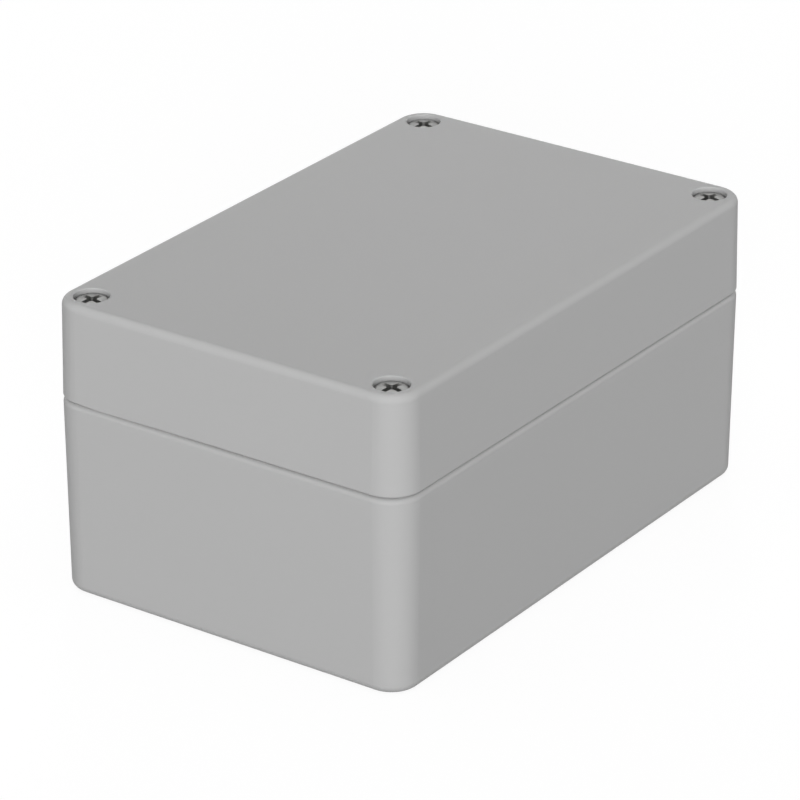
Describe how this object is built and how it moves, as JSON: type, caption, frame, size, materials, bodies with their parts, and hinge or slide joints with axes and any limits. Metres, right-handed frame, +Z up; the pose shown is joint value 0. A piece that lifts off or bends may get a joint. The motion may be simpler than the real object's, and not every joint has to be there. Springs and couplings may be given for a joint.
{
  "type": "polycarbonate enclosure",
  "caption": "Rectangular grey plastic housing for electronics, with a screwed lift-off lid, a sealed rim and recessed lid screws in its corners.",
  "frame": {"origin": "middle of the bottom face", "axes": "+X along the 120 mm length, +Y across the 80 mm width, +Z up out of the lid"},
  "size_m": [0.12, 0.08, 0.06],
  "materials": {
    "polycarbonate": "fine moulded satin, light grey",
    "silicone": "matt",
    "stainless": "turned, cold-headed",
    "nylon": "natural nylon",
    "brass": "turned and knurled"
  },
  "bodies": {
    "base": {"base_shell": "polycarbonate", "threaded_insert_front_left": "brass", "threaded_insert_front_right": "brass", "threaded_insert_back_left": "brass", "threaded_insert_back_right": "brass"},
    "lid": {"lid_shell": "polycarbonate", "lid_seal": "silicone"},
    "washer_front_left": {"screw_washer_front_left": "nylon"},
    "washer_front_right": {"screw_washer_front_right": "nylon"},
    "washer_back_left": {"screw_washer_back_left": "nylon"},
    "washer_back_right": {"screw_washer_back_right": "nylon"},
    "screw_front_left": {"lid_screw_front_left": "stainless"},
    "screw_front_right": {"lid_screw_front_right": "stainless"},
    "screw_back_left": {"lid_screw_back_left": "stainless"},
    "screw_back_right": {"lid_screw_back_right": "stainless"}
  },
  "joints": [
    {"name": "lid_lift", "type": "slide", "parent": "base", "child": "lid", "axis": [0, 0, 1], "range_m": [0, 0.06]},
    {"name": "screw_rise_front_left", "type": "slide", "parent": "lid", "child": "washer_front_left", "axis": [0, 0, 1], "range_m": [0, 0.007]},
    {"name": "screw_rise_front_right", "type": "slide", "parent": "lid", "child": "washer_front_right", "axis": [0, 0, 1], "range_m": [0, 0.007]},
    {"name": "screw_rise_back_left", "type": "slide", "parent": "lid", "child": "washer_back_left", "axis": [0, 0, 1], "range_m": [0, 0.007]},
    {"name": "screw_rise_back_right", "type": "slide", "parent": "lid", "child": "washer_back_right", "axis": [0, 0, 1], "range_m": [0, 0.007]},
    {"name": "screw_turn_front_left", "type": "hinge", "parent": "washer_front_left", "child": "screw_front_left", "pos_m": [-0.054, -0.034, 0.05], "axis": [0, 0, 1], "range_deg": [0, 3600]},
    {"name": "screw_turn_front_right", "type": "hinge", "parent": "washer_front_right", "child": "screw_front_right", "pos_m": [0.054, -0.034, 0.05], "axis": [0, 0, 1], "range_deg": [0, 3600]},
    {"name": "screw_turn_back_left", "type": "hinge", "parent": "washer_back_left", "child": "screw_back_left", "pos_m": [-0.054, 0.034, 0.05], "axis": [0, 0, 1], "range_deg": [0, 3600]},
    {"name": "screw_turn_back_right", "type": "hinge", "parent": "washer_back_right", "child": "screw_back_right", "pos_m": [0.054, 0.034, 0.05], "axis": [0, 0, 1], "range_deg": [0, 3600]}
  ],
  "couplings": [
    {"joint": "screw_turn_front_left", "follows": "screw_rise_front_left", "rad_per_m": 8976},
    {"joint": "screw_turn_front_right", "follows": "screw_rise_front_right", "rad_per_m": 8976},
    {"joint": "screw_turn_back_left", "follows": "screw_rise_back_left", "rad_per_m": 8976},
    {"joint": "screw_turn_back_right", "follows": "screw_rise_back_right", "rad_per_m": 8976}
  ]
}
